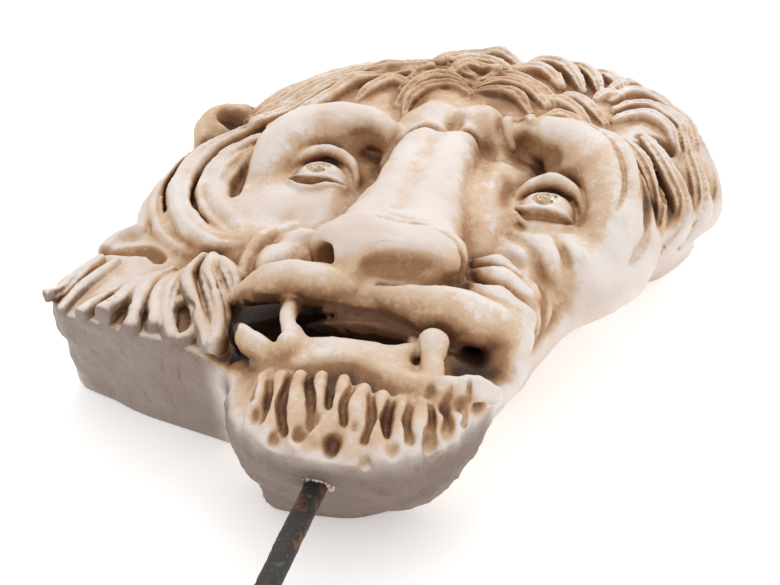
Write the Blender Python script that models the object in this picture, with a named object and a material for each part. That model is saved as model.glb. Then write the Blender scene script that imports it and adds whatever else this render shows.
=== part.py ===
# Lion mask relief: a marble face carved in high relief on a flat back, and the iron rod in its chin.
# The mask lies on its back. X runs across the face, Y from chin to forehead, Z out of the face.
import bpy
import bmesh
import math
from mathutils import Matrix, Vector

# Driving dimensions, in metres
MASK_HEIGHT = 0.364          # chin to crown; the carving keeps its proportions to this
ROD_DIAMETER = 0.010
ROD_STANDS_OUT = 0.150       # length of rod in front of the chin
ROD_SEAT = 0.048             # length of rod inside the marble
ROD_RISE = 0.040             # rod axis above the flat back
FIT_GAP = 0.0004             # space round the rod in its hole
HOLE_MOUTH = 0.0025          # how much wider the broken mouth of the hole is, all round
MOUTH_DEPTH = 0.005          # depth of that wider mouth

# The carving is drawn in millimetres on a mask of this height, then brought to MASK_HEIGHT
DRAWN_HEIGHT = 364.0
DRAWN = MASK_HEIGHT / DRAWN_HEIGHT
CUT_BELOW = 10 * DRAWN       # the block reaches this far below the back before it is cut flat
CLAY_GRAIN = 2.3 * DRAWN     # size of the cells that join the forms
FACET_SHARE = 0.065          # share of the joined surface's facets that the mask keeps
ROUND_SIDES = 32

# Places that several forms share
LEFT_EYE, RIGHT_EYE = (-54, 11), (61, 14)
ROD_X = -3 * DRAWN
MOUTH_DRILLINGS = (44, 56, 70, 84, 98)   # heights of the cuts that hollow the mouth, one above the other
CHIN_AT_ROD = -170 * DRAWN   # where the rod's axis meets the underside of the chin
CHIN_FOOT = -141 * DRAWN     # where that underside meets the back
CHIN_LEAN = 0.72             # how far it runs out for each unit that it rises
HOLE_RADIUS = ROD_DIAMETER / 2 + FIT_GAP


def clear_scene():
    for obj in list(bpy.data.objects):
        bpy.data.objects.remove(obj)


def stone(name, colour, roughness, metallic=0.0):
    material = bpy.data.materials.new(name)
    material.use_nodes = True
    shader = material.node_tree.nodes["Principled BSDF"]
    shader.inputs["Base Color"].default_value = (*colour, 1.0)
    shader.inputs["Roughness"].default_value = roughness
    shader.inputs["Metallic"].default_value = metallic
    return material


def add_object(name, mesh):
    obj = bpy.data.objects.new(name, mesh)
    bpy.context.scene.collection.objects.link(obj)
    return obj


def evaluated(obj):
    """The object's mesh with its modifiers or its bevel, and the object taken away."""
    graph = bpy.context.evaluated_depsgraph_get()
    mesh = bpy.data.meshes.new_from_object(obj.evaluated_get(graph))
    bpy.data.objects.remove(obj)
    return mesh


class Clay:
    """Overlapping closed forms, collected to be joined into one skin."""

    def __init__(self):
        self.bm = bmesh.new()
        self.curve = bpy.data.curves.new("strands", "CURVE")
        self.curve.dimensions = "3D"
        self.curve.bevel_depth = DRAWN
        self.curve.bevel_resolution = 2
        self.curve.resolution_u = 4
        self.curve.use_fill_caps = True

    def egg(self, centre, radii, turn=0):
        place = Matrix.Translation(Vector(centre) * DRAWN)
        place = place @ Matrix.Rotation(math.radians(turn), 4, "Z")
        size = Matrix.Diagonal((*(r * DRAWN for r in radii), 1.0))
        bmesh.ops.create_icosphere(self.bm, subdivisions=3, radius=1.0, matrix=place @ size)

    def strand(self, points, radii):
        """A round strand through the points, its radius spread evenly over them."""
        spline = self.curve.splines.new("BEZIER")
        spline.bezier_points.add(len(points) - 1)
        for index, (knot, point) in enumerate(zip(spline.bezier_points, points)):
            knot.co = Vector(point) * DRAWN
            knot.handle_left_type = knot.handle_right_type = "AUTO"
            along = index / (len(points) - 1) * (len(radii) - 1)
            low = min(int(along), len(radii) - 2)
            knot.radius = radii[low] + (radii[low + 1] - radii[low]) * (along - low)

    def joined(self, name, extra=None):
        """One skin round all the forms."""
        strands = evaluated(add_object("strands", self.curve))
        self.bm.from_mesh(strands)
        if extra:
            self.bm.from_mesh(extra)
        mesh = bpy.data.meshes.new(name)
        self.bm.to_mesh(mesh)
        self.bm.free()
        obj = add_object(name, mesh)
        remesh = obj.modifiers.new("one skin", "REMESH")
        remesh.mode = "VOXEL"
        remesh.voxel_size = CLAY_GRAIN
        return obj


def cut(obj, cutter, name):
    boolean = obj.modifiers.new(name, "BOOLEAN")
    boolean.operation = "DIFFERENCE"
    boolean.object = cutter
    cutter.hide_render = True
    cutter.display_type = "WIRE"


def arc(centre, across, along, start, end, count=6):
    """Points on an ellipse; angles in degrees from +X, heights run from centre's first to second."""
    points = []
    for index in range(count):
        share = index / (count - 1)
        angle = math.radians(start + (end - start) * share)
        x, y, (low, high) = centre
        points.append((x + across * math.cos(angle), y + along * math.sin(angle), low + (high - low) * share))
    return points


BACK_OUTLINE = [(-153, -67), (-109, -88), (-58, -101), (-44, -116), (-33, -142), (-15, -143), (0, -140),
                (12, -133), (22, -122), (34, -90), (48, -40), (56, 16), (75, 69), (103, 101), (113, 132),
                (98, 152), (55, 166), (0, 166), (-55, 150), (-100, 122), (-128, 75), (-140, 20), (-148, -30)]
# the upper edge of the block, with its own height at each place
RIM_OUTLINE = [(-163, -76, 56), (-135, -104, 60), (-66, -116, 60), (-55, -134, 62), (-46, -158, 62),
               (-30, -176, 62), (0, -188, 62), (36, -174, 62), (57, -144, 62), (66, -114, 62), (82, -50, 58),
               (95, -10, 58), (112, 35, 60), (131, 78, 56), (122, 105, 66), (108, 135, 70), (88, 160, 72),
               (52, 174, 74), (15, 174, 77), (-25, 160, 78), (-75, 152, 72), (-107, 122, 69), (-132, 98, 65),
               (-141, 35, 60), (-141, -5, 60), (-152, -35, 58)]
CROWN_HEIGHT = 77
TUFTS = 13                   # tufts across the beard, with a drilled channel between each two


def block(clay):
    """The block behind the face: from the flat back out to the rim, then in to a low crown."""
    def ring(places, inset=1.0):
        middle = Vector((-8, 10, 0))
        spread = Vector((inset, inset, 1))
        verts = [clay.bm.verts.new(((Vector(place) - middle) * spread + middle) * DRAWN) for place in places]
        return [clay.bm.edges.new((verts[i - 1], verts[i])) for i in range(len(verts))]
    back = [(x, y, 0) for x, y in BACK_OUTLINE]
    below = [(x, y, -CUT_BELOW / DRAWN) for x, y in BACK_OUTLINE]
    crown = [(x, y, CROWN_HEIGHT) for x, y, _ in RIM_OUTLINE]
    shoulder = [(x, y, z + 4) for x, y, z in RIM_OUTLINE]
    rings = [ring(below), ring(back), ring(RIM_OUTLINE), ring(shoulder, 0.95), ring(crown, 0.55)]
    for lower, upper in zip(rings, rings[1:]):
        bmesh.ops.bridge_loops(clay.bm, edges=lower + upper)
    bmesh.ops.holes_fill(clay.bm, edges=rings[0] + rings[-1])
    bmesh.ops.recalc_face_normals(clay.bm, faces=clay.bm.faces)


def masses(clay):
    """The big swells of the head."""
    clay.egg((4, -128, 48), (54, 54, 36))
    clay.egg((-71, 8, 67), (36, 34, 16))
    clay.egg((80, 10, 60), (34, 44, 21))
    clay.egg((-6, -62, 66), (54, 26, 22))
    clay.egg((-8, 92, 62), (84, 62, 31))
    clay.egg((30, 14, 66), (18, 54, 27))
    clay.egg((-43, 4, 66), (12, 38, 20))
    # the swells that the brows stand on
    clay.strand([(-34, 58, 82), (-50, 60, 83), (-66, 56, 82), (-80, 44, 79), (-88, 28, 75), (-88, 8, 70)],
                [11, 13, 14, 13, 11, 8])
    clay.strand([(36, 70, 82), (56, 72, 83), (74, 67, 82), (90, 53, 77), (98, 34, 71), (100, 14, 65),
                 (98, -6, 60)], [11, 14, 15, 14, 13, 11, 8])
    # the flat bridge of the nose, which widens towards its tip
    for side in (-1, 0, 1):
        clay.strand([(-3 + 6 * side, 76, 88), (-3 + 7 * side, 34, 90), (-2 + 9 * side, -10, 90),
                     (1 + 12 * side, -52, 89)], [12, 12, 13, 15])


def hollows(clay):
    """The eye sockets and the open mouth."""
    clay.egg((-50, 10, 92), (24, 26, 12))
    clay.egg((62, 10, 92), (24, 26, 12))
    for depth in MOUTH_DRILLINGS:
        clay.strand([(-57, -100, depth + 6), (-40, -108, depth), (-17, -112, depth), (6, -113, depth),
                     (19, -112, depth)], [5, 8, 8.5, 8.5, 6.5])
    for depth in (74, 88):
        clay.strand([(34, -112, depth), (46, -107, depth - 2), (59, -92, depth - 4)], [5, 6, 6.5])


def brows(clay):
    clay.strand([(-29, 45, 92), (-41, 48, 94), (-56, 47, 94), (-69, 41, 92), (-78, 29, 89), (-81, 16, 84),
                 (-81, 4, 76)], [7, 10, 11, 11.5, 11, 10, 7])
    clay.strand([(33, 59, 92), (50, 60, 94), (68, 56, 94), (83, 45, 92), (92, 29, 86), (95, 12, 79),
                 (93, -3, 71)], [8, 12, 14, 14, 13, 12, 8])
    # knobs over the bridge, which run down beside it
    clay.strand([(1, 62, 92), (-10, 64, 93), (-19, 55, 90), (-23, 42, 86), (-26, 30, 83)], [8, 10, 9, 6, 4])
    clay.strand([(5, 64, 92), (14, 65, 93), (22, 58, 89), (28, 50, 84), (34, 42, 79)], [8, 10, 8, 5, 4])
    # swells of hair above them, row over row up the forehead
    for row, height in enumerate((91, 91, 88, 84)):
        rise = 13 * row
        clay.strand([(-36 - 5 * row, 78 + rise, height - 3), (-24 - 3 * row, 88 + rise, height),
                     (-11, 90 + rise, height), (-2, 84 + rise, height)], [3, 5.5, 6, 4])
        clay.strand([(2, 86 + rise, height), (13 + 2 * row, 93 + rise, height),
                     (28 + 3 * row, 91 + rise, height), (40 + 5 * row, 80 + rise, height - 3)],
                     [4, 6, 5.5, 3])


def eye(clay, place):
    """Ball, arched upper lid, two lower lid folds and the cheekbone below them."""
    x, y = place
    clay.egg((x, y, 76), (15.5, 13.5, 15))
    lid = arc((x, y - 1, (77, 77)), 17, 17, 194, -14, 7)
    lid = [(px, py, pz + 12 * math.sin(math.pi * i / 6)) for i, (px, py, pz) in enumerate(lid)]
    clay.strand(lid, [2.6, 3.8, 2.6])
    for drop, height in ((7.5, 88), (12.5, 84)):
        clay.strand([(x - 13, y - drop + 3, height - 6), (x, y - drop, height),
                     (x + 13, y - drop + 3, height - 6)], [1.8, 2.4, 1.8])
    clay.egg((x + 2 * math.copysign(1, x), y - 25, 70), (25, 14, 13))


def nose(clay):
    clay.strand([(-25, -67, 97), (-12, -65, 98), (4, -64, 98), (18, -63, 97), (26, -60, 96)],
                [10, 11.5, 11.5, 11, 9])
    clay.strand([(-6, -68, 98), (-6, -75, 91), (-5, -80, 84)], [9, 7, 5])
    clay.egg((35, -58, 89), (7, 6, 5))


def muzzle(clay):
    """The two rolls of the upper lip, the lip inside them, whisker pads and folds."""
    clay.strand([(-4, -84, 84), (-13, -87, 87), (-24, -88, 88), (-36, -87, 87), (-48, -88, 84),
                 (-57, -88, 79)], [6, 7.5, 9, 9.8, 9.5, 6.5])
    clay.strand([(-2, -84, 84), (7, -88, 86), (18, -91, 87), (29, -92, 86), (40, -92, 83), (52, -92, 78),
                 (62, -90, 72)], [6, 8, 11, 12, 11.5, 9, 5])
    clay.strand([(-57, -90, 68), (-38, -94, 70), (-15, -95, 71), (3, -95, 71), (20, -97, 69), (38, -98, 66),
                 (56, -96, 62)], [6, 7, 8, 8, 8, 7, 5])
    clay.strand([(37, -67, 81), (48, -69, 82), (58, -71, 79), (64, -73, 74)], [6, 9, 10, 7])
    clay.strand([(40, -50, 82), (50, -50, 82), (58, -50, 80), (64, -51, 76)], [5, 8, 8, 5])
    clay.strand([(33, -38, 83), (42, -36, 83), (52, -35, 80)], [4, 6, 4.5])
    clay.egg((-52, -60, 79), (13, 11, 12))
    clay.egg((-43, -45, 82), (11, 8, 9))
    # folds from the eyes round the muzzle
    clay.strand([(-52, -23, 83), (-59, -34, 80), (-66, -43, 76), (-69, -54, 72), (-68, -67, 70)],
                [3, 4.5, 5, 5, 3.5])
    clay.strand([(51, -15, 80), (59, -21, 77), (67, -30, 73), (70, -46, 69)], [3, 4, 4.5, 3])


def jaw(clay):
    """Lower lip, fangs and the row of teeth."""
    clay.strand([(-57, -104, 69), (-50, -116, 70), (-32, -128, 72), (-9, -127, 77), (13, -131, 76),
                 (37, -131, 71), (55, -115, 67), (60, -103, 63)], [3, 6, 7.5, 8.5, 8, 7, 5.5, 3.5])
    clay.strand([(-36, -96, 80), (-33, -110, 81), (-29, -121, 80), (-27, -127, 77)], [5, 3.6, 4, 6.5])
    clay.strand([(27, -111, 84), (31, -121, 82), (34, -128, 77)], [5.6, 4.6, 5.6])
    clay.strand([(23, -118, 79), (20, -125, 79), (17, -131, 77)], [4.5, 5, 4])
    for tooth in range(6):
        clay.egg((-17 + 5.2 * tooth, -102 - 0.5 * tooth, 72), (3, 3, 4.5))


def mane(clay):
    """Long locks that sweep down the left cheek, nested outwards from the brow."""
    clay.strand([(-97, 43, 72), (-106, 17, 68), (-104, 1, 68), (-96, -14, 69), (-78, -36, 72)],
                [4, 6, 6.5, 6.5, 4])
    clay.strand([(-96, 51, 74), (-107, 40, 70), (-112, 21, 67), (-110, 1, 66), (-102, -14, 66),
                 (-79, -38, 70)], [5, 6.5, 7.5, 7.5, 7, 4.5])
    clay.strand([(-103, 66, 72), (-118, 52, 67), (-125, 32, 63), (-124, 9, 62), (-116, -13, 62),
                 (-103, -32, 64), (-77, -42, 68)], [5, 7, 9.5, 10, 10, 9.5, 6])
    clay.strand([(-112, 64, 68), (-125, 51, 64), (-133, 33, 60), (-135, 11, 57), (-129, -10, 57),
                 (-119, -28, 58), (-94, -45, 62)], [4, 5.5, 7, 8, 8, 8, 5])
    clay.strand([(-139, 41, 56), (-142, 20, 53), (-141, 2, 51), (-131, -19, 52), (-121, -33, 54)],
                [3, 4.5, 5.5, 5.5, 4])
    clay.strand([(-148, -37, 56), (-144, -27, 56), (-134, -23, 60)], [3.5, 4.5, 4.5])


def fan(clay):
    """Locks below the cheek that fan out to the break, and the two curls beside the mouth."""
    for outer in range(2):
        clay.strand([(-148 + 9 * outer, -41, 58), (-155 + 8 * outer, -57, 57),
                     (-158 + 8 * outer, -76, 53)], [5, 6, 5])
    for lock in range(5):
        top, spread = -124 + 7.5 * lock, 5 - 1.6 * lock
        clay.strand([(top, -62 + 3 * lock, 61 + lock), (top - spread, -78, 61 + lock),
                     (top - spread, -96, 57 + lock)], [3.5, 6, 6])
    clay.strand(arc((-86, -93, (60, 58)), 7, 9, 110, -110, 6), [3, 4.5, 4])
    clay.strand([(-88, -53, 65), (-91, -68, 66), (-84, -86, 66), (-75, -106, 60), (-68, -121, 53)],
                [4, 7, 7.5, 4])
    clay.strand([(-84, -56, 67), (-77, -70, 68), (-70, -90, 66), (-65, -110, 60), (-64, -126, 53)],
                [4, 8, 8, 5])


def left_ear(clay):
    clay.strand([(-130, 70, 63), (-132, 84, 65), (-128, 97, 65), (-118, 104, 65)], [7, 8, 8, 6])
    clay.egg((-128, 80, 60), (12, 13, 12))
    for row in range(3):
        lift = 9 * row
        clay.strand([(-78 + 2 * row, 92 + lift, 80 - 3 * row), (-94, 92 + lift, 77 - 3 * row),
                     (-106 - 3 * row, 84 + lift, 73 - 3 * row),
                     (-112 - 4 * row, 72 + 1.3 * lift, 69 - 3 * row)], [4, 5, 4])


def crown(clay):
    """Tufts along the top edge and low waves down to the brows."""
    for x, y, size, height in ((-11, 152, 20, 80), (28, 158, 16, 77), (52, 156, 15, 75)):
        clay.strand(arc((x, y, (height, height)), size, size, 170, -20, 6), [4, 6, 6, 4])
        inner = size * 0.55
        clay.strand(arc((x, y - 4, (height + 3, height + 3)), inner, inner, 170, -20, 5), [4, 5, 4])
    for row in range(3):
        y = 144 - 9 * row
        clay.strand([(-34, y, 78 + row), (-55, y + 6 - 2 * row, 76 + row), (-75, y - 2, 74 + row),
                     (-92, y - 16, 72 + row)], [4, 5, 5, 4])


def right_hair(clay):
    """The swell of the right ear, the locks arching over it and those that fall down the side."""
    clay.egg((92, 108, 56), (30, 34, 19))
    clay.strand([(62, 138, 77), (78, 147, 74), (94, 143, 70), (108, 128, 68), (118, 108, 66), (125, 88, 58),
                 (121, 70, 49), (108, 58, 40)], [4, 5, 5.5, 5.5, 5.5, 5.5, 5.5, 4])
    clay.strand([(62, 128, 79), (78, 136, 77), (91, 133, 75), (103, 118, 73), (112, 98, 69), (119, 78, 62),
                 (118, 62, 54), (108, 48, 45)], [3.5, 4.5, 5, 5, 5, 5.5, 5.5, 4])
    clay.strand([(64, 118, 80), (78, 126, 79), (89, 124, 77), (98, 112, 76), (105, 94, 72), (111, 74, 66),
                 (113, 56, 58), (106, 40, 50)], [3, 4, 5, 5, 5, 5.5, 5.5, 4])
    clay.strand([(68, 108, 80), (78, 116, 80), (87, 115, 78), (96, 104, 76)], [3, 4, 4.5, 3.5])
    clay.strand([(66, 96, 80), (80, 96, 80), (93, 86, 77), (103, 66, 71), (107, 46, 64), (105, 30, 58)],
                [3, 5, 6, 6, 6, 4])


def tuft_place(share, down):
    """A place on the beard: share runs across the chin, down runs from the lip to the underside."""
    angle = math.radians(-158 + 136 * share)
    x = 8 + (49 + down) * math.cos(angle)
    y = -132 - 4 * down + (22 + 18 * math.sin(0.72 * math.pi * down)) * math.sin(angle)
    z = 79 - 21 * down - 4 * abs(share - 0.45)
    return (x, y, z)


def beard(clay):
    for tuft in range(TUFTS):
        share = (tuft + 0.5) / TUFTS
        clay.strand([tuft_place(share, down) for down in (0, 0.35, 0.7, 1)], [3.5, 4.6, 4.6, 3.5])


def drillings(clay):
    """Cuts made last: nostrils, corners of the brows, ears, and the drilled channels of the beard."""
    clay.egg((-38, 34, 93), (8, 8, 7))
    clay.egg((38, 46, 94), (10, 9, 9))
    clay.egg((2, 52, 104), (5, 9, 9))
    clay.strand([(-25, -84, 96), (-21, -76, 92), (-17, -66, 90)], [6, 6.5, 5])
    clay.egg((14, -77, 90), (16, 8, 8))
    clay.strand([(84, 108, 84), (91, 104, 80), (98, 98, 76)], [5, 7, 5])
    clay.egg((-121, 88, 70), (10, 9, 8))
    clay.strand([(-95, 28, 84), (-95, 15, 80), (-93, 0, 76)], [5, 8, 4])
    clay.strand([(-137, -42, 62), (-127, -38, 62), (-116, -43, 62)], [3, 5, 3])
    for lock, (x, y) in enumerate(((-128, -88), (-114, -93), (-104, -97), (-91, -97))):
        clay.strand([(x, y + 20, 64 + lock), (x - 1, y, 61 + lock), (x, y - 12, 58 + lock)], [2.2, 3.2, 3.2])
    for channel in range(1, TUFTS):
        share = channel / TUFTS
        wide = 4.2 if channel % 3 == 2 else 3.0
        clay.strand([tuft_place(share, down) for down in (0.25, 0.6, 0.95)], [wide * 0.6, wide * 0.9, wide])
        clay.egg(tuft_place(share, 0.95), (wide, wide * 1.5, wide * 1.5))


def box(name, low, high, place=Matrix()):
    bm = bmesh.new()
    size = Vector(high) - Vector(low)
    middle = Matrix.Translation((Vector(low) + Vector(high)) / 2)
    bmesh.ops.create_cube(bm, size=1.0, matrix=place @ middle @ Matrix.Diagonal((*size, 1.0)))
    mesh = bpy.data.meshes.new(name)
    bm.to_mesh(mesh)
    bm.free()
    return add_object(name, mesh)


def bar(name, sections):
    """A round bar along Y through the rod's axis, from pairs of place and radius."""
    bm = bmesh.new()
    rings = []
    for y, radius in sections:
        place = Matrix.Translation((ROD_X, y, ROD_RISE)) @ Matrix.Rotation(math.pi / 2, 4, "X")
        ring = bmesh.ops.create_circle(bm, segments=ROUND_SIDES, radius=radius, matrix=place)
        rings.append(list({edge for vert in ring["verts"] for edge in vert.link_edges}))
    for first, second in zip(rings, rings[1:]):
        bmesh.ops.bridge_loops(bm, edges=first + second)
    bmesh.ops.holes_fill(bm, edges=rings[0] + rings[-1])
    bmesh.ops.recalc_face_normals(bm, faces=bm.faces)
    mesh = bpy.data.meshes.new(name)
    bm.to_mesh(mesh)
    bm.free()
    return add_object(name, mesh)


def make_core():
    """The head's big forms with the sockets and the mouth already hollowed."""
    clay = Clay()
    block(clay)
    masses(clay)
    core = clay.joined("core")
    sockets = Clay()
    hollows(sockets)
    sockets = sockets.joined("sockets")
    cut(core, sockets, "sockets and mouth")
    mesh = evaluated(core)
    bpy.data.objects.remove(sockets)
    return mesh


def make_mask():
    carving = Clay()
    for form in (brows, nose, muzzle, jaw, mane, fan, left_ear, crown, right_hair, beard):
        form(carving)
    eye(carving, LEFT_EYE)
    eye(carving, RIGHT_EYE)
    mask = carving.joined("lion_mask", extra=make_core())

    drill = Clay()
    drillings(drill)
    cut(mask, drill.joined("drillings"), "drillings")
    reach = MASK_HEIGHT
    lean = Matrix.Rotation(-math.atan(1 / CHIN_LEAN), 4, "X")
    chin_line = Matrix.Translation((0, CHIN_FOOT, 0)) @ lean
    cut(mask, box("under_chin", (-reach, -reach, -reach), (reach, reach, 0), chin_line), "under the chin")

    skin = mask.modifiers.new("worn skin", "REMESH")
    skin.mode = "VOXEL"
    skin.voxel_size = CLAY_GRAIN
    wear = mask.modifiers.new("wear", "SMOOTH")
    wear.factor = 0.5
    wear.iterations = 2
    facets = mask.modifiers.new("facets", "DECIMATE")
    facets.ratio = FACET_SHARE
    cut(mask, box("below_back", (-reach, -reach, -reach), (reach, reach, 0)), "flat back")
    hole_mouth = HOLE_RADIUS + HOLE_MOUTH
    hole = bar("rod_hole", [(CHIN_AT_ROD - 2 * reach, hole_mouth), (CHIN_AT_ROD, hole_mouth),
                            (CHIN_AT_ROD + MOUTH_DEPTH, HOLE_RADIUS),
                            (CHIN_AT_ROD + ROD_SEAT + FIT_GAP, HOLE_RADIUS)])
    cut(mask, hole, "rod hole")
    mask.data.materials.append(stone("marble", (0.66, 0.53, 0.41), 0.6))
    return mask


def make_rod():
    radius = ROD_DIAMETER / 2
    rod = bar("rod", [(CHIN_AT_ROD - ROD_STANDS_OUT, radius), (CHIN_AT_ROD + ROD_SEAT, radius)])
    rod.data.shade_smooth()
    rod.data.set_sharp_from_angle(angle=math.radians(40))
    rod.data.materials.append(stone("iron", (0.07, 0.06, 0.055), 0.6, 0.7))
    return rod


clear_scene()
make_mask()
make_rod()
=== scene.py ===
import math

import bpy
import numpy as np
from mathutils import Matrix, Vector


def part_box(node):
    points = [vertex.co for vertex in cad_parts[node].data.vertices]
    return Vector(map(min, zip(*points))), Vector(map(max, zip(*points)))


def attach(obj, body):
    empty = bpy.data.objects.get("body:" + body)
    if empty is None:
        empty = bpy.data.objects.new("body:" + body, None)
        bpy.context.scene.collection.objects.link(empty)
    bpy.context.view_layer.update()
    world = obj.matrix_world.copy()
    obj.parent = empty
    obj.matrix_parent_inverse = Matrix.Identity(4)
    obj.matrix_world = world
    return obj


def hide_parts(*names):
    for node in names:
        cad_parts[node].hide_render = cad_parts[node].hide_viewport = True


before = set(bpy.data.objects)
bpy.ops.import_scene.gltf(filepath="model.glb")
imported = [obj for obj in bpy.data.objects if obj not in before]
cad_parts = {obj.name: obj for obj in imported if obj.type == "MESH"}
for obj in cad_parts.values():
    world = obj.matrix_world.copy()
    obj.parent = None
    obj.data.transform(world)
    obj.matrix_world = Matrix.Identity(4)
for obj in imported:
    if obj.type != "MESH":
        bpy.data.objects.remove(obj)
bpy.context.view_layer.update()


# The lion mask.
# One block of fine white marble, roughed out with the point, drilled and
# smoothed. It lies on its flat back. The lower left corner has broken away, and
# age has stained the hollows a warm brown; the colour there also carries painted shade.

scene = bpy.context.scene
MM = 0.001
CARVE_STEP = 0.95  # spacing of the grid that is carved, mm
MASK_FACES = 180000     # triangles of the finished mask
FACE_TOP = 78           # height of the ground round the features, mm
SIDE_TOP = 62           # height where the sides turn over to the face, mm
CHIN_FOOT = 141         # how far below the origin the chin meets the floor, mm
CHIN_LEAN = 0.72        # how far the chin leans out for each mm of height
HOLE_PLAY = 1.2         # gap round the rod at the mouth of its hole, mm


class Clay:
    """The block as signed distances in millimetres on a regular grid."""

    def __init__(self, low, high, step):
        self.step = step
        self.low = np.array(low, float)
        self.axes = [np.arange(a, b + step, step, dtype=np.float32) for a, b in zip(low, high)]
        self.depth = np.full([len(a) for a in self.axes], 80.0, np.float32)

    def window(self, low, high):
        cuts = []
        for axis in range(3):
            first = int(max(0, math.floor((low[axis] - self.low[axis]) / self.step)))
            last = int(min(len(self.axes[axis]), math.ceil((high[axis] - self.low[axis]) / self.step) + 1))
            cuts.append(slice(first, max(first, last)))
        x, y, z = (self.axes[i][cuts[i]] for i in range(3))
        return tuple(cuts), x[:, None, None], y[None, :, None], z[None, None, :]

    def join(self, cuts, shape, blend):
        here = self.depth[cuts]
        near = np.maximum(blend - np.abs(here - shape), 0) / blend
        self.depth[cuts] = np.minimum(here, shape) - near * near * blend / 4

    def carve(self, cuts, shape, blend):
        here = self.depth[cuts]
        near = np.maximum(blend - np.abs(here + shape), 0) / blend
        self.depth[cuts] = np.maximum(here, -shape) + near * near * blend / 4

    def survey(self, passes):
        """Height of the surface seen from the front, smoothed by so many passes."""
        solid = self.depth < 0
        top = solid.shape[2] - 1 - np.argmax(solid[:, :, ::-1], axis=2)
        rows, columns = np.indices(top.shape)
        inner = self.depth[rows, columns, top]
        outer = self.depth[rows, columns, np.minimum(top + 1, solid.shape[2] - 1)]
        height = self.axes[2][top] + self.step * inner / (inner - outer + 1e-6)
        height = np.where(solid.any(axis=2), height, SIDE_TOP)
        for _ in range(passes):
            wide = np.pad(height, 1, mode="edge")
            height = (wide[:-2, 1:-1] + wide[2:, 1:-1] + wide[1:-1, :-2] + wide[1:-1, 2:] + 2 * height) / 6
        self.surface = height

    def height(self, x, y):
        place = (np.array((x, y)) - self.low[:2]) / self.step
        i, j = place.astype(int)
        u, v = place - (i, j)
        s = self.surface
        near = s[i, j] * (1 - u) + s[i + 1, j] * u
        far = s[i, j + 1] * (1 - u) + s[i + 1, j + 1] * u
        return float(near * (1 - v) + far * v)


def through(points, pieces=6, closed=False):
    """A smooth line through a few points."""
    p = np.array(points, float)
    if len(p) == 2:
        t = np.linspace(0, 1, pieces + 1)[:, None]
        return p[0] * (1 - t) + p[1] * t
    if closed:
        ends = np.vstack([p[-1:], p, p[:2]])
    else:
        ends = np.vstack([2 * p[0] - p[1], p, 2 * p[-1] - p[-2]])
    line = []
    for a, b, c, d in zip(ends, ends[1:], ends[2:], ends[3:]):
        t = np.linspace(0, 1, pieces, endpoint=False)[:, None]
        line.append(0.5 * (2 * b + (c - a) * t + (2 * a - 5 * b + 4 * c - d) * t ** 2
                           + (3 * b - a - 3 * c + d) * t ** 3))
    if not closed:
        line.append(p[-1:])
    return np.vstack(line)


def along(values, count):
    return np.interp(np.linspace(0, 1, count), np.linspace(0, 1, len(values)), values)


def egg(clay, centre, radii, blend=2.0, cut=False, power=2.0):
    """An ellipsoid joined to the clay or carved out of it."""
    c, r = np.array(centre, float), np.array(radii, float)
    reach = r.max() + blend + 3 * clay.step
    cuts, x, y, z = clay.window(c - reach, c + reach)
    x, y, z = (x - c[0]) / r[0], (y - c[1]) / r[1], (z - c[2]) / r[2]
    if power == 2.0:
        out = np.sqrt(x ** 2 + y ** 2 + z ** 2)
        steep = np.sqrt((x / r[0]) ** 2 + (y / r[1]) ** 2 + (z / r[2]) ** 2)
        shape = out * (out - 1) / np.maximum(steep, 1e-6)
    else:
        shape = ((abs(x) ** power + abs(y) ** power + abs(z) ** power) ** (1 / power) - 1) * r.min()
    (clay.carve if cut else clay.join)(cuts, shape.astype(np.float32), blend)


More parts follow.
